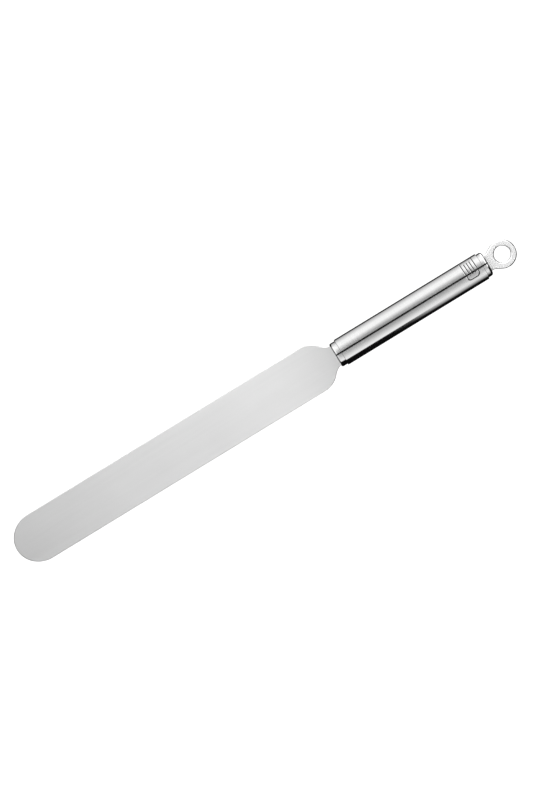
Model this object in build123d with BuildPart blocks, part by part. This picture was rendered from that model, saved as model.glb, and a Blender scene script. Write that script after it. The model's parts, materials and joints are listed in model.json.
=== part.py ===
"""Long flexible palette knife: a springy straight blade in a closed round steel handle with a hanging eye.

Millimetres. The origin is the centre of the hanging hole, +X runs along the tool to the blade's tip,
+Y lies across the blade and +Z stands up from its flat face.
"""

import os
from math import acos, copysign, cos, radians, sin, sqrt, tan

from build123d import *

# Blade: one sheet, with the tang that the front cap holds
BLADE_LENGTH = 255.0  # from the front cap's face to the tip
BLADE_WIDTH = 34.0
BLADE_THICKNESS = 1.0
BLADE_EDGE_RADIUS = 0.45
TIP_LENGTH = 18.5  # the tip is half an ellipse of this length and the blade's width
SHOULDER_RADIUS = 16.5  # outward curve that ends at the full width
NECK_RADIUS = 11.0  # inward curve that starts at the cap
NECK_ANGLE = 13.5  # degrees between the neck's flanks and the axis where they leave the cap
TANG_WIDTH = 15.0

# Handle: a drawn tube over two turned caps, each a cup with a closed, slotted end
TUBE_LENGTH = 113.0
TUBE_DIAMETER = 19.8
TUBE_WALL = 0.85
TUBE_CHAMFER = 0.2
FRONT_COLLAR = 4.5  # how far each cap stands out of the tube
REAR_COLLAR = 4.2
FRONT_SPIGOT = 14.0  # how far each cap reaches into the tube
REAR_SPIGOT = 12.0
FRONT_ROUNDING = 1.3
REAR_ROUNDING = 1.8
SPIGOT_CHAMFER = 0.5
CAP_END = 5.0  # thickness of each cap's closed end
CAP_WALL = 2.0

# Hanging eye: a flat ring with a neck, and a tang that the rear cap holds
EYE_DIAMETER = 20.0
EYE_HOLE_DIAMETER = 11.5
EYE_THICKNESS = 3.4
EYE_EDGE_RADIUS = 1.2
EYE_NECK_WIDTH = 12.3
EYE_FLARE = 28.0  # degrees between the flared flanks and the axis
EYE_FLARE_FILLET = 4.0
HOLE_TO_CAP = 12.0  # from the hole's centre to the rear cap's face

# Retaining pins, which the tube covers
PIN_DIAMETER = 3.0
PIN_CHAMFER = 0.3
BLADE_PIN_SPACING = 7.5

FIT = 0.02  # gap on each side between pieces that are pushed together

rear_face_x = HOLE_TO_CAP
tube_rear_x = rear_face_x + REAR_COLLAR
tube_front_x = tube_rear_x + TUBE_LENGTH
front_face_x = tube_front_x + FRONT_COLLAR
tip_x = front_face_x + BLADE_LENGTH
front_spigot_x = tube_front_x - FRONT_SPIGOT
rear_spigot_x = tube_rear_x + REAR_SPIGOT

bore_radius = TUBE_DIAMETER / 2 - TUBE_WALL
cap_radius = bore_radius - FIT
pin_hole_radius = PIN_DIAMETER / 2 + FIT
blade_pin_spots = [(front_spigot_x + FRONT_SPIGOT / 2, side * BLADE_PIN_SPACING / 2) for side in (-1, 1)]
eye_pin_spots = [(rear_spigot_x - REAR_SPIGOT / 2, 0.0)]


def turned_cap(face_x, spigot_x, rounding, slot_width, slot_thickness, pin_spots):
    """A cup from face_x to spigot_x, with its end slotted for a tang and its wall cross-drilled for the pins."""
    length = spigot_x - face_x
    inner_end_x = face_x + copysign(CAP_END, length)
    with BuildPart() as cap:
        with BuildSketch(Plane.YZ.offset(face_x)):
            Circle(cap_radius)
        extrude(amount=length)
        rims = cap.edges().filter_by(GeomType.CIRCLE)
        fillet(rims.filter_by_position(Axis.X, face_x, face_x), rounding)
        chamfer(rims.filter_by_position(Axis.X, spigot_x, spigot_x), SPIGOT_CHAMFER)
        with BuildSketch(Plane.YZ.offset(inner_end_x)):
            Circle(cap_radius - CAP_WALL)
        extrude(amount=spigot_x - inner_end_x, mode=Mode.SUBTRACT)
        with Locations((face_x + length / 2, 0, 0)):
            Box(abs(length), slot_width, slot_thickness, mode=Mode.SUBTRACT)
        with Locations(*pin_spots):
            Hole(pin_hole_radius)
    return cap


def retaining_pins(spots):
    """Short chamfered dowels through the cap, with their ends just under the tube's bore."""
    furthest = max(abs(y) for _, y in spots) + PIN_DIAMETER / 2
    with BuildPart() as pins:
        with Locations(*spots):
            Cylinder(PIN_DIAMETER / 2, 2 * sqrt(cap_radius**2 - furthest**2))
        chamfer(pins.edges().filter_by(GeomType.CIRCLE), PIN_CHAMFER)
    return pins


# Blade: half its outline is drawn from the tang to the tip, then mirrored
half_width = BLADE_WIDTH / 2
half_tang = TANG_WIDTH / 2
start_angle = radians(NECK_ANGLE)
turn_angle = acos(
    (NECK_RADIUS * cos(start_angle) + SHOULDER_RADIUS - half_width + half_tang) / (NECK_RADIUS + SHOULDER_RADIUS)
)
neck_start = (front_face_x, half_tang)
neck_end = (
    front_face_x + NECK_RADIUS * (sin(turn_angle) - sin(start_angle)),
    half_tang + NECK_RADIUS * (cos(start_angle) - cos(turn_angle)),
)
shoulder_end = (neck_end[0] + SHOULDER_RADIUS * sin(turn_angle), half_width)
tip_start = (tip_x - TIP_LENGTH, half_width)

with BuildPart() as blade:
    with BuildSketch():
        with BuildLine():
            Line(neck_start, (front_face_x, 0))
            TangentArc(neck_start, neck_end, tangent=(cos(start_angle), sin(start_angle)))
            TangentArc(neck_end, shoulder_end, tangent=(cos(turn_angle), sin(turn_angle)))
            Line(shoulder_end, tip_start)
            EllipticalCenterArc((tip_start[0], 0), TIP_LENGTH, half_width, arc_size=90)
            mirror(about=Plane.XZ)
        make_face()
    extrude(amount=BLADE_THICKNESS / 2, both=True)
    faces_outline = blade.faces().filter_by(Axis.Z).edges()
    fillet(faces_outline.filter_by(lambda e: e.center().X > front_face_x + FIT), BLADE_EDGE_RADIUS)
    with Locations(((front_face_x + front_spigot_x) / 2, 0, 0)):
        Box(front_face_x - front_spigot_x, TANG_WIDTH, BLADE_THICKNESS)
    with Locations(*blade_pin_spots):
        Hole(pin_hole_radius)

# Hanging eye: the ring, its flared neck up to the cap and the square-edged tang
half_neck = EYE_NECK_WIDTH / 2
flare = radians(EYE_FLARE)
flare_start = (EYE_DIAMETER / 2 * sin(flare), EYE_DIAMETER / 2 * cos(flare))
flare_end = (flare_start[0] + (flare_start[1] - half_neck) / tan(flare), half_neck)

with BuildPart() as hanging_eye:
    with BuildSketch() as eye_outline:
        with BuildLine():
            Polyline((0, 0), flare_start, flare_end, (rear_face_x, half_neck), (rear_face_x, 0))
            mirror(about=Plane.XZ)
        make_face()
        neck_corners = eye_outline.vertices().filter_by_position(Axis.X, flare_end[0], flare_end[0])
        fillet(neck_corners, EYE_FLARE_FILLET)
        Circle(EYE_DIAMETER / 2)
        Circle(EYE_HOLE_DIAMETER / 2, mode=Mode.SUBTRACT)
    extrude(amount=EYE_THICKNESS / 2, both=True)
    rims = hanging_eye.faces().filter_by(Axis.Z).edges()
    fillet(rims.filter_by(lambda e: e.center().X < rear_face_x - FIT), EYE_EDGE_RADIUS)
    with Locations(((rear_face_x + rear_spigot_x) / 2, 0, 0)):
        Box(rear_spigot_x - rear_face_x, EYE_NECK_WIDTH, EYE_THICKNESS)
    with Locations(*eye_pin_spots):
        Hole(pin_hole_radius)

# Handle tube: it slides over both spigots and hides the pins
with BuildPart() as handle_tube:
    with BuildSketch(Plane.YZ.offset(tube_rear_x)):
        Circle(TUBE_DIAMETER / 2)
        Circle(bore_radius, mode=Mode.SUBTRACT)
    extrude(amount=TUBE_LENGTH)
    chamfer(handle_tube.edges().filter_by(GeomType.CIRCLE), TUBE_CHAMFER)

front_cap = turned_cap(
    front_face_x, front_spigot_x, FRONT_ROUNDING, TANG_WIDTH + 2 * FIT, BLADE_THICKNESS + 2 * FIT, blade_pin_spots
)
rear_cap = turned_cap(
    rear_face_x, rear_spigot_x, REAR_ROUNDING, EYE_NECK_WIDTH + 2 * FIT, EYE_THICKNESS + 2 * FIT, eye_pin_spots
)

pieces = {
    "blade": blade,
    "front_cap": front_cap,
    "blade_pins": retaining_pins(blade_pin_spots),
    "handle_tube": handle_tube,
    "rear_cap": rear_cap,
    "eye_pin": retaining_pins(eye_pin_spots),
    "hanging_eye": hanging_eye,
}

os.makedirs("parts", exist_ok=True)
for name, piece in pieces.items():
    piece.part.label = name
    export_step(piece.part, f"parts/{name}.step")
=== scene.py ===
"""Looks of the flexible palette knife: its pieces, steels, studio and camera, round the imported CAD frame.

Everything is in metres in the row frame: the origin is the centre of the hanging hole, +X runs along the tool
to the blade's tip, +Y lies across the blade and +Z stands up from its flat face.
"""

import json
from math import acos, atan2, ceil, cos, pi, radians, sin, sqrt, tan

import bmesh
import bpy
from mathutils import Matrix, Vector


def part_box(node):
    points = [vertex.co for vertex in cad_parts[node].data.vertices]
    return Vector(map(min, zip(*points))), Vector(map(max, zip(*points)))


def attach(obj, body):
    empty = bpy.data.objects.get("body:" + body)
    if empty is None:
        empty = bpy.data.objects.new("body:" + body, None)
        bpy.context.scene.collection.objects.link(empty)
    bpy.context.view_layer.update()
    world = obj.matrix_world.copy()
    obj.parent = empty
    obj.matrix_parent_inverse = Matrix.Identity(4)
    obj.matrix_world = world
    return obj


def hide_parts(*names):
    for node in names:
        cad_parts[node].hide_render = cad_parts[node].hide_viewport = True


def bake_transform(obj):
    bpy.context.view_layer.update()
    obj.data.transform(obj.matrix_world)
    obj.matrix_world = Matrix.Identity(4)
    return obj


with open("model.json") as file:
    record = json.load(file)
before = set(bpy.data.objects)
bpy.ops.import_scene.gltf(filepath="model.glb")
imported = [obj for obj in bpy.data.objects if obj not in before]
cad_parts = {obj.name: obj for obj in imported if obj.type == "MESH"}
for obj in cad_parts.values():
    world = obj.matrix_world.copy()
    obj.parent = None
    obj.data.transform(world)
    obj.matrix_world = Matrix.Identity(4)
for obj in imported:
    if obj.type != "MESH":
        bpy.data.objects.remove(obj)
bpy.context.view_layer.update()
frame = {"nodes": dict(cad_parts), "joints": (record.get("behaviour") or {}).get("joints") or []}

MM = 0.001

# ---------------------------------------------------------------- places and sizes that the frame gives

blade_lo, blade_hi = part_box("blade")
tube_lo, tube_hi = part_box("handle_tube")
front_lo, front_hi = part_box("front_cap")
rear_lo, rear_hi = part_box("rear_cap")
eye_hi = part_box("hanging_eye")[1]
blade_pins_lo, blade_pins_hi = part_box("blade_pins")
eye_pin_lo, eye_pin_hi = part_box("eye_pin")

front_face_x, rear_face_x = front_hi.x, rear_lo.x
tip_x = blade_hi.x
tube_radius = (tube_hi.y - tube_lo.y) / 2
cap_radius = (front_hi.y - front_lo.y) / 2
hinge_x = frame["joints"][0]["pos_m"][0]
flex_limit = radians(frame["joints"][0]["range_deg"][1])

# ---------------------------------------------------------------- sizes that the frame doesn't give

SHOULDER_RADIUS = 16.5 * MM
NECK_RADIUS = 11.0 * MM
NECK_ANGLE = radians(13.5)
TANG_WIDTH = 15.0 * MM
TIP_LENGTH = 18.5 * MM
BLADE_EDGE_RADIUS = 0.45 * MM

TUBE_WALL = 0.85 * MM
TUBE_CHAMFER = 0.2 * MM

FRONT_ROUNDING = 1.3 * MM
REAR_ROUNDING = 1.8 * MM
SPIGOT_CHAMFER = 0.5 * MM
CAP_END = 5.0 * MM
CAP_WALL = 2.0 * MM
FACE_RINGS = (0.25, 0.6)  # extra rings of points on a cap's flat face, as shares of its radius
SLOT_OVERRUN = 0.5 * MM  # how far the tool that cuts a cap's slot passes its ends

EYE_RADIUS = 10.0 * MM
EYE_HOLE_RADIUS = 5.75 * MM
EYE_EDGE_RADIUS = 1.2 * MM
EYE_NECK_WIDTH = 12.3 * MM
EYE_FLARE = radians(28.0)
EYE_FLARE_FILLET = 4.0 * MM

PIN_RADIUS = 1.5 * MM
FIT = 0.02 * MM  # gap on each side between pieces that are pushed together
TANG_EDGE_RADIUS = 0.05 * MM  # the tangs' long edges are only broken, not rounded

# The engraved mark on the tube: a frame with round corners and three bars, lying across the tube
MARK_TURN = radians(-22.0)  # from +Z round the tube's axis
MARK_X = 25.0 * MM
MARK_HALF_LENGTH = 4.5 * MM  # along the tube
MARK_HALF_WIDTH = 8.0 * MM  # round the tube
MARK_CORNER = 2.2 * MM
MARK_LINE = 0.7 * MM
MARK_BAR_SPACING = 2.1 * MM
MARK_BAR_HALF = 4.6 * MM
MARK_DEPTH = 0.05 * MM
MARK_GRID = 0.14 * MM
MARK_MARGIN = 0.8 * MM

blade_pin_y = blade_pins_hi.y - PIN_RADIUS
blade_pin_spots = [((blade_pins_lo.x + blade_pins_hi.x) / 2, y) for y in (blade_pin_y, -blade_pin_y)]
eye_pin_spots = [((eye_pin_lo.x + eye_pin_hi.x) / 2, 0.0)]

FACE_STRENGTH, STRONG = "__mod_weightednormals_faceweight", 16384  # what Blender's weighted normals read


def steps(start, end, count):
    """count equal steps from start to end, both included."""
    return [start + (end - start) * i / count for i in range(count + 1)]


def full_turn(count):
    """count angles round a circle, without the last that repeats the first."""
    return [2 * pi * i / count for i in range(count)]


def smoothstep(low, high, value):
    share = min(1.0, max(0.0, (value - low) / (high - low)))
    return share * share * (3 - 2 * share)


# ---------------------------------------------------------------- making pieces


def mesh_piece(name, points, faces, attributes=None):
    """A closed mesh object. attributes maps a name to one number per point."""
    mesh = bpy.data.meshes.new(name)
    mesh.from_pydata(points, [], faces)
    for key, values in (attributes or {}).items():
        mesh.attributes.new(key, "FLOAT", "POINT").data.foreach_set("value", values)
    made = bmesh.new()
    made.from_mesh(mesh)
    bmesh.ops.remove_doubles(made, verts=made.verts, dist=1e-7)
    bmesh.ops.recalc_face_normals(made, faces=made.faces)
    made.to_mesh(mesh)
    made.free()
    piece = bpy.data.objects.new(name, mesh)
    bpy.context.scene.collection.objects.link(piece)
    return piece


def shade(piece, sharp_degrees=40.0):
    """Smooth shading, broken at clear angles.

    Faces square to an axis are marked as strong and set the normals that they share, so rounded edges run
    into a flat face without bending its shading.
    """
    mesh = piece.data
    mesh.shade_smooth()
    mesh.set_sharp_from_angle(angle=radians(sharp_degrees))
    strength = mesh.attributes.new(FACE_STRENGTH, "INT", "FACE")
    for face, value in zip(mesh.polygons, strength.data):
        value.value = STRONG if max(abs(n) for n in face.normal) > 0.99999 else 0
    weighted = piece.modifiers.new("weighted_normals", "WEIGHTED_NORMAL")
    weighted.keep_sharp = True
    weighted.use_face_influence = True
    weighted.weight = 80


def ring_faces(ring_a, ring_b):
    """Quads between two closed rings of the same length, given as lists of point numbers."""
    count = len(ring_a)
    return [(ring_a[i], ring_a[(i + 1) % count], ring_b[(i + 1) % count], ring_b[i]) for i in range(count)]


def box_cutter(low, high):
    corners = [(x, y, z) for x in (low[0], high[0]) for y in (low[1], high[1]) for z in (low[2], high[2])]
    faces = [(0, 1, 3, 2), (4, 6, 7, 5), (0, 4, 5, 1), (2, 3, 7, 6), (0, 2, 6, 4), (1, 5, 7, 3)]
    return mesh_piece("cutter", corners, faces)


def pin_cutter(x, y, segments=48):
    """An upright round bar, a little larger than a pin and longer than anything that a pin crosses."""
    radius, reach = PIN_RADIUS + FIT, 2 * tube_radius
    circle = [(x + radius * cos(a), y + radius * sin(a)) for a in full_turn(segments)]
    points = [(px, py, z) for z in (-reach, reach) for px, py in circle]
    low, high = list(range(segments)), list(range(segments, 2 * segments))
    return mesh_piece("cutter", points, ring_faces(low, high) + [tuple(low), tuple(high)])


def cut(piece, cutters):
    """Cuts the pieces in cutters away from piece for good."""
    for cutter in cutters:
        boolean = piece.modifiers.new("cut", "BOOLEAN")
        boolean.operation = "DIFFERENCE"
        boolean.solver = "EXACT"
        boolean.object = cutter
        seen = piece.evaluated_get(bpy.context.evaluated_depsgraph_get())
        result = bpy.data.meshes.new_from_object(seen)
        piece.modifiers.remove(boolean)
        piece.data = result
        bpy.data.objects.remove(cutter)


def lathe(name, profile, segments=192):
    """Turns a closed profile of (x, radius) points round the X axis."""
    points = [(x, r * sin(a), r * cos(a)) for a in full_turn(segments) for x, r in profile]
    count = len(profile)
    rings = [list(range(i * count, (i + 1) * count)) for i in range(segments)]
    faces = [face for i in range(segments) for face in ring_faces(rings[i], rings[(i + 1) % segments])]
    return mesh_piece(name, points, faces)


# ---------------------------------------------------------------- blade


def blade_outline():
    """Half the blade's outline, from the tang's end to the tip.

    Each entry is (x, y, outward normal's x and y, edge radius).
    """
    half_width, half_tang = blade_hi.y, TANG_WIDTH / 2
    rise = half_width - half_tang
    turn = acos((NECK_RADIUS * cos(NECK_ANGLE) + SHOULDER_RADIUS - rise) / (NECK_RADIUS + SHOULDER_RADIUS))
    neck_x = front_face_x + NECK_RADIUS * (sin(turn) - sin(NECK_ANGLE))
    neck_y = half_tang + NECK_RADIUS * (cos(NECK_ANGLE) - cos(turn))
    shoulder_x = neck_x + SHOULDER_RADIUS * sin(turn)
    straight_end_x = tip_x - TIP_LENGTH

    tang = steps(blade_lo.x, front_face_x - FIT, 9)
    outline = [(x, half_tang, 0.0, 1.0, TANG_EDGE_RADIUS) for x in tang]
    for a in steps(NECK_ANGLE, turn, 10):
        x = front_face_x + NECK_RADIUS * (sin(a) - sin(NECK_ANGLE))
        y = half_tang + NECK_RADIUS * (cos(NECK_ANGLE) - cos(a))
        outline.append((x, y, -sin(a), cos(a), BLADE_EDGE_RADIUS))
    for a in steps(turn, 0.0, 16)[1:]:
        x = neck_x + SHOULDER_RADIUS * (sin(turn) - sin(a))
        y = neck_y + SHOULDER_RADIUS * (cos(a) - cos(turn))
        outline.append((x, y, -sin(a), cos(a), BLADE_EDGE_RADIUS))
    for x in steps(shoulder_x, straight_end_x, 96)[1:]:
        outline.append((x, half_width, 0.0, 1.0, BLADE_EDGE_RADIUS))
    for a in steps(0.0, pi / 2, 36)[1:]:
        normal = (sin(a) / TIP_LENGTH, cos(a) / half_width)
        length = sqrt(normal[0] ** 2 + normal[1] ** 2)
        x, y = straight_end_x + TIP_LENGTH * sin(a), half_width * cos(a)
        outline.append((x, y, normal[0] / length, normal[1] / length, BLADE_EDGE_RADIUS))
    return outline


def make_blade(columns=10, arc_steps=6):
    """One sheet from the tang to the tip, with rounded edges: a ring of points at each station along it."""
    half_thickness = blade_hi.z
    points, polish, rings = [], [], []
    arc = [pi / 2 * i / arc_steps for i in range(arc_steps + 1)]
    for x, y, nx, ny, radius in blade_outline():
        flat_z = half_thickness - radius
        upper_edge = [(radius * sin(a) - radius, flat_z + radius * cos(a), sin(a)) for a in arc]
        edge = upper_edge + [(out, -z, worn) for out, z, worn in reversed(upper_edge)]
        inner_x, inner_y = x - radius * nx, y - radius * ny
        ring = [(inner_x, inner_y * (2 * j / columns - 1), half_thickness, 0.0) for j in range(1, columns)]
        ring += [(x + out * nx, y + out * ny, z, worn) for out, z, worn in edge]
        ring += [(inner_x, inner_y * (1 - 2 * j / columns), -half_thickness, 0.0) for j in range(1, columns)]
        ring += [(x + out * nx, -(y + out * ny), z, worn) for out, z, worn in reversed(edge)]
        rings.append(list(range(len(points), len(points) + len(ring))))
        points += [p[:3] for p in ring]
        polish += [p[3] for p in ring]
    faces = [tuple(rings[0])]
    for ring_a, ring_b in zip(rings, rings[1:]):
        faces += ring_faces(ring_a, ring_b)
    piece = mesh_piece("blade_sheet", points, faces, {"polish": polish})
    cut(piece, [pin_cutter(*spot) for spot in blade_pin_spots])
    return piece


# ---------------------------------------------------------------- handle tube, with its engraved mark


def rounded_box_distance(u, v, half_u, half_v, corner):
    """Signed distance from (u, v) to a rectangle with round corners, negative inside."""
    du, dv = abs(u) - half_u + corner, abs(v) - half_v + corner
    return sqrt(max(du, 0.0) ** 2 + max(dv, 0.0) ** 2) + min(max(du, dv), 0.0) - corner


def engraving(u, v):
    """How deep the mark is cut at u along the tube and v round it, from 0 to 1."""
    outline = abs(rounded_box_distance(u, v, MARK_HALF_LENGTH, MARK_HALF_WIDTH, MARK_CORNER))
    bars = []
    for side in (-1, 0, 1):
        overhang = max(abs(v) - MARK_BAR_HALF, 0.0)
        bars.append(sqrt((u - side * MARK_BAR_SPACING) ** 2 + overhang**2))
    distance = min(outline, *bars)
    return 1.0 - smoothstep(0.5 * MARK_LINE - MARK_GRID, 0.5 * MARK_LINE + MARK_GRID, distance)


def spread(start, end, fine_start, fine_end, coarse, fine):
    """Stations from start to end, close together between fine_start and fine_end."""
    before = steps(start, fine_start, ceil((fine_start - start) / coarse))
    within = steps(fine_start, fine_end, ceil((fine_end - fine_start) / fine))
    after = steps(fine_end, end, ceil((end - fine_end) / coarse))
    return before + within[1:] + after[1:]


def make_tube():
    """The tube's outer skin is a grid, fine where the mark is cut. The ends and the bore share its turns."""
    half_length = MARK_HALF_LENGTH + MARK_MARGIN
    half_turn = (MARK_HALF_WIDTH + MARK_MARGIN) / tube_radius
    fine_turn = MARK_GRID / tube_radius
    mark_start, mark_end = MARK_TURN - half_turn, MARK_TURN + half_turn
    turns = spread(MARK_TURN - pi, MARK_TURN + pi, mark_start, mark_end, radians(2), fine_turn)[:-1]
    skin_lo, skin_hi = tube_lo.x + TUBE_CHAMFER, tube_hi.x - TUBE_CHAMFER
    stations = spread(skin_lo, skin_hi, MARK_X - half_length, MARK_X + half_length, 4 * MM, MARK_GRID)
    bore = tube_radius - TUBE_WALL
    profile = [(x, tube_radius, 0.0) for x in stations]
    profile += [(tube_hi.x, tube_radius - TUBE_CHAMFER, 1.0), (tube_hi.x, bore + TUBE_CHAMFER, 0.0)]
    profile += [(skin_hi, bore, 0.0), (skin_lo, bore, 0.0)]
    profile += [(tube_lo.x, bore + TUBE_CHAMFER, 0.0), (tube_lo.x, tube_radius - TUBE_CHAMFER, 1.0)]
    points, polish, depth, rings = [], [], [], []
    for a in turns:
        rings.append(list(range(len(points), len(points) + len(profile))))
        for x, radius, worn in profile:
            cut_here = engraving(x - MARK_X, (a - MARK_TURN) * tube_radius) if radius == tube_radius else 0.0
            radius -= MARK_DEPTH * cut_here
            points.append((x, radius * sin(a), radius * cos(a)))
            polish.append(worn)
            depth.append(cut_here)
    faces = []
    for ring_a, ring_b in zip(rings, rings[1:] + rings[:1]):
        faces += ring_faces(ring_a, ring_b)
    return mesh_piece("tube_shell", points, faces, {"polish": polish, "engraved": depth})


# ---------------------------------------------------------------- caps


def make_cap(name, face_x, spigot_x, rounding, tang, pin_spots):
    """A turned cup with a rounded rim at face_x, slotted for the tang and drilled for the pins.

    tang is half the tang's width and half its thickness.
    """
    inward = 1.0 if spigot_x > face_x else -1.0
    profile = [(face_x, share * cap_radius) for share in (0.0, *FACE_RINGS)]
    for a in steps(pi / 2, 0.0, 12):
        profile.append((face_x + inward * rounding * (1 - sin(a)), cap_radius - rounding * (1 - cos(a))))
    profile += [(spigot_x - inward * SPIGOT_CHAMFER, cap_radius), (spigot_x, cap_radius - SPIGOT_CHAMFER)]
    inner_end_x = face_x + inward * CAP_END
    profile += [(spigot_x, cap_radius - CAP_WALL), (inner_end_x, cap_radius - CAP_WALL)]
    profile += [(inner_end_x, FACE_RINGS[0] * cap_radius), (inner_end_x, 0.0)]
    cap = lathe(name, profile)
    half_width, half_thickness = tang[0] + FIT, tang[1] + FIT
    low = (min(face_x, spigot_x) - SLOT_OVERRUN, -half_width, -half_thickness)
    high = (max(face_x, spigot_x) + SLOT_OVERRUN, half_width, half_thickness)
    cut(cap, [box_cutter(low, high)] + [pin_cutter(*spot) for spot in pin_spots])
    return cap


def make_front_cap():
    tang = (TANG_WIDTH / 2, blade_hi.z)
    return make_cap("front_collar", front_face_x, front_lo.x, FRONT_ROUNDING, tang, blade_pin_spots)


def make_rear_cap():
    tang = (EYE_NECK_WIDTH / 2, eye_hi.z)
    return make_cap("rear_collar", rear_face_x, rear_hi.x, REAR_ROUNDING, tang, eye_pin_spots)


# ---------------------------------------------------------------- hanging eye


def eye_outline():
    """Half the eye's outline on the +Y side, from the far end of the ring to the tang's end."""
    half_neck = EYE_NECK_WIDTH / 2
    flare_x, flare_y = EYE_RADIUS * sin(EYE_FLARE), EYE_RADIUS * cos(EYE_FLARE)
    corner_x = flare_x + (flare_y - half_neck) / tan(EYE_FLARE)
    reach = EYE_FLARE_FILLET * tan(EYE_FLARE / 2)
    outline = []
    for a in steps(pi, pi / 2 - EYE_FLARE, 72):
        outline.append((EYE_RADIUS * cos(a), EYE_RADIUS * sin(a), cos(a), sin(a), EYE_EDGE_RADIUS))
    fillet_start_x = corner_x - reach * cos(EYE_FLARE)
    fillet_start_y = half_neck + reach * sin(EYE_FLARE)
    for share in steps(0.0, 1.0, 8)[1:]:
        x = flare_x + (fillet_start_x - flare_x) * share
        y = flare_y + (fillet_start_y - flare_y) * share
        outline.append((x, y, sin(EYE_FLARE), cos(EYE_FLARE), EYE_EDGE_RADIUS))
    for a in steps(EYE_FLARE, 0.0, 10)[1:]:
        x = corner_x + reach - EYE_FLARE_FILLET * sin(a)
        y = half_neck + EYE_FLARE_FILLET * (1 - cos(a))
        outline.append((x, y, sin(a), cos(a), EYE_EDGE_RADIUS))
    for x in steps(corner_x + reach, rear_face_x, 4)[1:]:
        outline.append((x, half_neck, 0.0, 1.0, EYE_EDGE_RADIUS))
    for x in steps(rear_face_x + FIT, eye_hi.x, 10):
        outline.append((x, half_neck, 0.0, 1.0, TANG_EDGE_RADIUS))
    return outline


def along(start, end, count):
    """count equal steps from one point to another, without the first."""
    return [tuple(p + (q - p) * i / count for p, q in zip(start, end)) for i in range(1, count + 1)]


def eye_path(x, y, nx, ny, radius):
    """Points over the eye's upper face from the hole's rim to the rounding at (x, y).

    On the way to the tang they pass through the cap's face inside the neck's roundings.
    """
    inner = (x - radius * nx, y - radius * ny)
    rim = EYE_HOLE_RADIUS + EYE_EDGE_RADIUS
    if x > rear_face_x:
        waist = (rear_face_x, rear_face_x * y / x * (1 - 2 * EYE_EDGE_RADIUS / EYE_NECK_WIDTH))
        bearing = atan2(waist[1], waist[0])
        start = (rim * cos(bearing), rim * sin(bearing))
    else:
        bearing = atan2(inner[1], inner[0])
        start = (rim * cos(bearing), rim * sin(bearing))
        waist = along(start, inner, 3)[1]
    return bearing, along(start, waist, 4) + along(waist, inner, 2)[:-1]


def make_eye(arc_steps=8):
    """The flat eye with rounded rims: paths from the hole to the outline, each a loop over both faces."""
    half_thickness = eye_hi.z
    half = eye_outline()
    tang_end = [(eye_hi.x, half[-1][1] * (1 - i / 6), 1.0, 0.0, TANG_EDGE_RADIUS) for i in range(1, 7)]
    upper = half + tang_end
    outline = upper + [(x, -y, nx, -ny, radius) for x, y, nx, ny, radius in reversed(upper[1:-1])]
    arc = [pi / 2 * i / arc_steps for i in range(arc_steps + 1)]
    points, polish, loops = [], [], []
    for x, y, nx, ny, radius in outline:
        bearing, path = eye_path(x, y, nx, ny, radius)
        top = []
        for a in reversed(arc):
            r = EYE_HOLE_RADIUS + EYE_EDGE_RADIUS * (1 - sin(a))
            z = half_thickness - EYE_EDGE_RADIUS * (1 - cos(a))
            top.append((r * cos(bearing), r * sin(bearing), z, sin(a)))
        top += [(px, py, half_thickness, 0.0) for px, py in path]
        for a in arc:
            inset = radius * (1 - sin(a))
            top.append((x - inset * nx, y - inset * ny, half_thickness - radius * (1 - cos(a)), sin(a)))
        loop = top + [(px, py, -pz, worn) for px, py, pz, worn in reversed(top)]
        loops.append(list(range(len(points), len(points) + len(loop))))
        points += [p[:3] for p in loop]
        polish += [p[3] for p in loop]
    faces = []
    for loop_a, loop_b in zip(loops, loops[1:] + loops[:1]):
        faces += ring_faces(loop_a, loop_b)
    piece = mesh_piece("eye_plate", points, faces, {"polish": polish})
    cut(piece, [pin_cutter(*spot) for spot in eye_pin_spots])
    return piece


# ---------------------------------------------------------------- materials


class Nodes:
    """Short calls for building a node tree."""

    def __init__(self, tree):
        self.tree = tree
        tree.nodes.clear()

    def add(self, kind, inputs=None, **settings):
        made = self.tree.nodes.new(kind)
        for key, value in settings.items():
            setattr(made, key, value)
        for key, value in (inputs or {}).items():
            if isinstance(value, bpy.types.NodeSocket):
                self.tree.links.new(value, made.inputs[key])
            else:
                made.inputs[key].default_value = value
        return made

    def math(self, operation, *values):
        return self.add("ShaderNodeMath", dict(enumerate(values)), operation=operation).outputs[0]

    def remap(self, value, low, high, to_low, to_high, smooth=False):
        inputs = {"Value": value, "From Min": low, "From Max": high, "To Min": to_low, "To Max": to_high}
        kind = "SMOOTHSTEP" if smooth else "LINEAR"
        return self.add("ShaderNodeMapRange", inputs, interpolation_type=kind).outputs["Result"]

    def mix(self, factor, colour_a, colour_b):
        """The Mix node's colour inputs are its sockets 6 and 7, and its colour output is socket 2."""
        mixed = self.add("ShaderNodeMix", data_type="RGBA")
        for key, source in ((0, factor), (6, colour_a), (7, colour_b)):
            self.tree.links.new(source, mixed.inputs[key])
        return mixed.outputs[2]

    def noise(self, coordinates, stretch, detail=3.0, roughness=0.5):
        scaled = self.add("ShaderNodeVectorMath", {0: coordinates, 1: stretch}, operation="MULTIPLY")
        inputs = {"Vector": scaled.outputs[0], "Scale": 1.0, "Detail": detail, "Roughness": roughness}
        return self.add("ShaderNodeTexNoise", inputs).outputs["Fac"]


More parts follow.
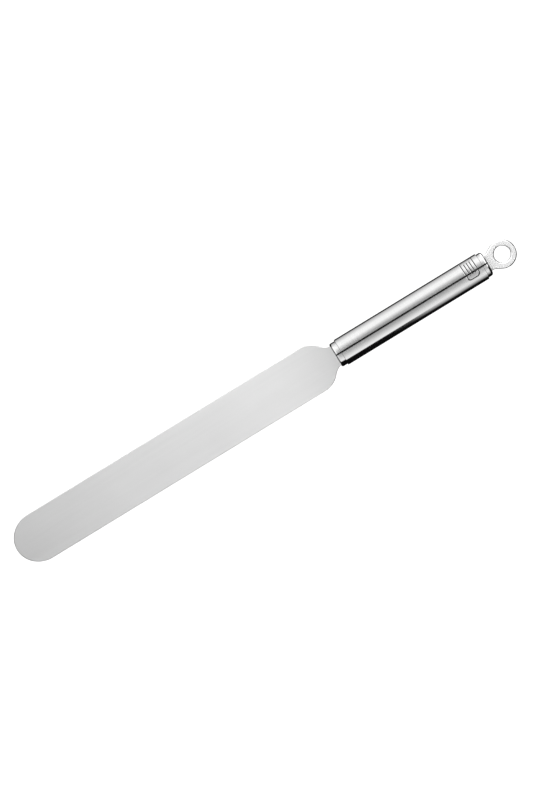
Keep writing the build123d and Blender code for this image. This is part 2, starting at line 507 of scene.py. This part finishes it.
def steel(name, grey, roughness, anisotropy, tangent, fine, streak, edge_roughness, mark=False):
    """Satin steel.

    fine and streak are how often the finish changes per metre along X, Y and Z. tangent is the direction
    that the finish scatters most, and edge_roughness is that of its polished rims.
    """
    material = bpy.data.materials.new(name)
    material.use_nodes = True
    n = Nodes(material.node_tree)
    place = n.add("ShaderNodeTexCoord").outputs["Object"]
    worn = n.add("ShaderNodeAttribute", attribute_name="polish").outputs["Fac"]
    lines = n.noise(place, fine, detail=2.0)
    streaks = n.noise(place, streak, detail=4.0, roughness=0.55)
    clouds = n.noise(place, (28.0, 28.0, 28.0), detail=3.0)
    scuffs = n.remap(n.noise(place, (260.0, 900.0, 900.0), detail=5.0, roughness=0.7), 0.62, 0.74, 0.0, 1.0)

    rough = n.math("ADD", n.remap(lines, 0.3, 0.7, -0.03, 0.03), n.remap(streaks, 0.3, 0.7, -0.02, 0.02))
    rough = n.math("ADD", rough, n.remap(clouds, 0.3, 0.7, -0.015, 0.015))
    rough = n.math("ADD", rough, n.math("MULTIPLY", scuffs, 0.03))
    rough = n.math("ADD", rough, roughness)
    rough = n.math("ADD", rough, n.math("MULTIPLY", worn, edge_roughness - roughness))
    shade_of = n.remap(streaks, 0.25, 0.75, -0.012, 0.012)
    shade_of = n.math("ADD", shade_of, n.remap(clouds, 0.3, 0.7, -0.008, 0.008))
    shade_of = n.math("ADD", shade_of, grey)
    if mark:
        engraved = n.add("ShaderNodeAttribute", attribute_name="engraved").outputs["Fac"]
        shade_of = n.math("MULTIPLY", shade_of, n.remap(engraved, 0.15, 0.7, 1.0, 0.08))
        rough = n.math("ADD", rough, n.math("MULTIPLY", engraved, 0.3))
    colour = n.add("ShaderNodeCombineColor", {0: shade_of, 1: shade_of, 2: shade_of}).outputs[0]
    height = n.math("ADD", n.math("MULTIPLY", lines, 0.6), n.math("MULTIPLY", scuffs, -0.3))
    bump = n.add("ShaderNodeBump", {"Strength": 0.25, "Distance": 0.002 * MM, "Height": height}).outputs[0]
    inputs = {"Base Color": colour, "Metallic": 1.0, "Roughness": rough, "Normal": bump}
    inputs |= {"Anisotropic": anisotropy, "Tangent": tangent(n)}
    shader = n.add("ShaderNodeBsdfPrincipled", inputs).outputs[0]
    n.add("ShaderNodeOutputMaterial", {"Surface": shader})
    return material


def across_the_blade(n):
    """Ground lengthwise, so light scatters across the blade."""
    return n.add("ShaderNodeCombineXYZ", {"X": 0.0, "Y": 1.0, "Z": 0.0}).outputs[0]


def along_the_tool(n):
    """Turned round the axis, so light scatters along it."""
    return n.add("ShaderNodeCombineXYZ", {"X": 1.0, "Y": 0.0, "Z": 0.0}).outputs[0]


# ---------------------------------------------------------------- studio

WHITE = (1.0, 1.0, 1.0, 1.0)
FLOOR_CLEARANCE = 10.0 * MM  # between the floor and the tip at the end of its bend
VIEW_CENTRE = (189.6 * MM, 1.2 * MM)
VIEW_HEIGHT = 547.2 * MM  # how much of the scene the picture's long side takes in
TOOL_SLANT = radians(31.42)  # between the tool and the picture's short side
TENT_RADIUS = 0.45
TENT_START_X, TENT_END_X = -1.0, 1.2
TUBE_GREY = 0.56  # reflectance that the tent's brightnesses are set for

# The tent's panels, as (angle in degrees from +Z towards +Y, brightness as steel of TUBE_GREY shows it).
# Each list is one side of one stretch, or both sides. There is a dark slit at the top, where the camera
# looks in, dark cards low on both sides, which reach higher on the +Y side, and a pale floor below.
FLOOR_ON_MINUS_Y = [(-172, 0.50), (-160, 0.0)]
FLOOR_ON_PLUS_Y = [(160, 0.003), (172, 0.50)]
TUBE_MINUS_Y = [(-135, 0.0), (-120, 0.45), (-75, 0.9), (-50, 0.9), (-20, 0.35), (-8, 0.3), (-6.5, 0.0)]
TUBE_PLUS_Y = [(6.5, 0.0), (8, 0.3), (25, 0.4), (55, 0.75)]
BEHIND_CAP_PLUS_Y = [(6.5, 0.0), (8, 0.3), (25, 0.4), (34, 0.003)]
OVER_EYE = [(-135, 0.0), (-120, 1.5), (-8, 1.5), (-6.5, 0.0), (6.5, 0.0), (8, 1.5), (25, 1.4), (32, 0.003)]
FRONT_END = [(75, 0.85), (78, 0.003)]
REAR_END = [(70, 0.75), (110, 0.003)]
BLADE_SIDES = [
    (-112, 0.0), (-88, 0.80), (-60, 0.95), (-30, 1.05), (-8, 0.98), (-6.5, 0.0),
    (6.5, 0.0), (8, 0.88), (45, 0.60), (74, 0.58), (77, 0.003),
]
TIP_SIDES = [
    (-95, 0.0), (-80, 0.42), (-30, 0.51), (-8, 0.46), (-6.5, 0.0),
    (6.5, 0.0), (8, 0.42), (45, 0.31), (74, 0.30), (77, 0.003),
]
END_GREY = 0.06
END_SIDES = [(-150, END_GREY), (150, END_GREY)]


def brighter(stops, gain):
    """The same panels, gain times as bright."""
    return [(angle, value * gain) for angle, value in stops]


# Where along X the tent starts and ends its change to the next stretch, and that stretch
TENT_CHANGES = [
    (-0.56, -0.48, brighter(TUBE_MINUS_Y + BEHIND_CAP_PLUS_Y, 1.3)),
    (-0.30, -0.24, OVER_EYE),
    (-0.038, -0.032, brighter(TUBE_MINUS_Y + TUBE_PLUS_Y + REAR_END, 1.15)),
    (-0.022, -0.016, TUBE_MINUS_Y + TUBE_PLUS_Y + REAR_END),
    (0.025, 0.058, TUBE_MINUS_Y + TUBE_PLUS_Y + FRONT_END),
    (0.132, 0.140, brighter(BLADE_SIDES, 1.6)),
    (0.15, 0.20, brighter(BLADE_SIDES, 0.97)),
    (0.27, 0.60, TIP_SIDES),
    (0.62, 0.70, END_SIDES),
]


def tent_ramp(n, share, sides):
    stops = FLOOR_ON_MINUS_Y + sides + FLOOR_ON_PLUS_Y
    ramp = n.add("ShaderNodeValToRGB", {"Fac": share})
    elements = ramp.color_ramp.elements
    for _ in range(len(stops) - len(elements)):
        elements.new(0.5)
    for element, (angle, value) in zip(elements, stops):
        element.position = angle / 360 + 0.5
        element.color = (value / TUBE_GREY,) * 3 + (1.0,)
    return ramp.outputs["Color"]


def make_tent():
    """A cylinder of soft panels and dark gaps round the tool, which only reflections see."""
    segments = 180
    across = [(TENT_RADIUS * sin(a), TENT_RADIUS * cos(a)) for a in full_turn(segments)]
    points = [(x, y, z) for x in (TENT_START_X, TENT_END_X) for y, z in across]
    low, high = list(range(segments)), list(range(segments, 2 * segments))
    tent = mesh_piece("light_tent", points, ring_faces(low, high))
    material = bpy.data.materials.new("tent_panels")
    material.use_nodes = True
    n = Nodes(material.node_tree)
    place = n.add("ShaderNodeTexCoord").outputs["Object"]
    x, y, z = n.add("ShaderNodeSeparateXYZ", {0: place}).outputs
    share = n.math("ADD", n.math("DIVIDE", n.math("ARCTAN2", y, z), 2 * pi), 0.5)
    glow_colour = tent_ramp(n, share, END_SIDES)
    for start, end, stops in TENT_CHANGES:
        factor = n.remap(x, start, end, 0.0, 1.0, smooth=True)
        glow_colour = n.mix(factor, glow_colour, tent_ramp(n, share, stops))
    glow = n.add("ShaderNodeEmission", {"Color": glow_colour}).outputs[0]
    n.add("ShaderNodeOutputMaterial", {"Surface": glow})
    tent.data.materials.append(material)
    tent.visible_camera = False
    tent.visible_diffuse = False
    tent.visible_shadow = False


def make_world():
    world = bpy.data.worlds.new("studio")
    bpy.context.scene.world = world
    world.use_nodes = True
    n = Nodes(world.node_tree)
    seen = n.add("ShaderNodeLightPath").outputs["Is Glossy Ray"]
    white = n.add("ShaderNodeBackground", {"Color": WHITE, "Strength": 1.0}).outputs[0]
    dim = n.add("ShaderNodeBackground", {"Color": WHITE, "Strength": 0.15}).outputs[0]
    mixed = n.add("ShaderNodeMixShader", {0: seen, 1: white, 2: dim}).outputs[0]
    n.add("ShaderNodeOutputWorld", {"Surface": mixed})


def make_floor():
    """A plain white floor, low enough for the blade at the end of its bend."""
    reach = 8.0
    height = -(tip_x - hinge_x) * sin(flex_limit) - FLOOR_CLEARANCE
    corners = [(x * reach, y * reach, height) for x, y in ((-1, -1), (1, -1), (1, 1), (-1, 1))]
    floor = mesh_piece("floor", corners, [(0, 1, 2, 3)])
    material = bpy.data.materials.new("floor_white")
    material.use_nodes = True
    n = Nodes(material.node_tree)
    diffuse = n.add("ShaderNodeBsdfDiffuse", {"Color": (0.3, 0.3, 0.3, 1.0)}).outputs[0]
    glow = n.add("ShaderNodeEmission", {"Color": WHITE, "Strength": 0.9}).outputs[0]
    both = n.add("ShaderNodeAddShader", {0: diffuse, 1: glow}).outputs[0]
    n.add("ShaderNodeOutputMaterial", {"Surface": both})
    floor.data.materials.append(material)
    floor.visible_glossy = False


def make_camera():
    """Straight down on the blade's face, from far off, with the tool at a slant in a tall picture."""
    lens, sensor = 135.0, 36.0
    data = bpy.data.cameras.new("camera")
    data.lens = lens
    data.sensor_width = sensor
    data.clip_start, data.clip_end = 0.1, 20.0
    camera = bpy.data.objects.new("camera", data)
    bpy.context.scene.collection.objects.link(camera)
    camera.location = (VIEW_CENTRE[0], VIEW_CENTRE[1], VIEW_HEIGHT * lens / sensor)
    camera.rotation_euler = (0.0, 0.0, pi - TOOL_SLANT)
    bpy.context.scene.camera = camera


# ---------------------------------------------------------------- the scene

# Finishes, as (direction of most scatter, fine lines and streaks per metre along X, Y and Z)
LENGTHWISE = (across_the_blade, (60.0, 9000.0, 9000.0), (14.0, 420.0, 420.0))
ROUND = (along_the_tool, (9000.0, 90.0, 90.0), (420.0, 20.0, 20.0))
EVEN = (across_the_blade, (3000.0, 3000.0, 3000.0), (160.0, 160.0, 160.0))

# Each steel's grey, roughness, anisotropy, finish and the roughness of its rims
blade_steel = steel("blade_satin", 0.64, 0.38, 0.8, *LENGTHWISE, 0.22)
tube_steel = steel("tube_satin", TUBE_GREY, 0.11, 0.3, *ROUND, 0.10, mark=True)
cap_steel = steel("cap_satin", TUBE_GREY, 0.11, 0.3, *ROUND, 0.10)
# The eye's grey of 0.80, paler than the other steels, is painted light: it stands in for light that the tent
# can't give the eye's face without also lighting the rear cap's rim.
eye_steel = steel("eye_satin", 0.80, 0.46, 0.0, *EVEN, 0.24)
pin_steel = steel("pin_ground", 0.55, 0.30, 0.0, *EVEN, 0.20)

built = [
    (make_blade(), "blade", "blade_steel", blade_steel),
    (make_tube(), "handle_tube", "handle_steel", tube_steel),
    (make_front_cap(), "front_cap", "cap_steel", cap_steel),
    (make_rear_cap(), "rear_cap", "cap_steel", cap_steel),
    (make_eye(), "hanging_eye", "eye_steel", eye_steel),
]
for piece, node, slot, material in built:
    piece.data.materials.clear()
    piece.data.materials.append(material)
    shade(piece)
    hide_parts(node)
    if node == "blade":
        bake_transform(piece)
    else:
        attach(piece, "handle")

for node in ("blade_pins", "eye_pin"):
    pins = frame["nodes"][node]
    pins.data.materials.clear()
    pins.data.materials.append(pin_steel)

make_tent()
make_world()
make_floor()
make_camera()
bpy.context.scene.view_settings.view_transform = "Standard"
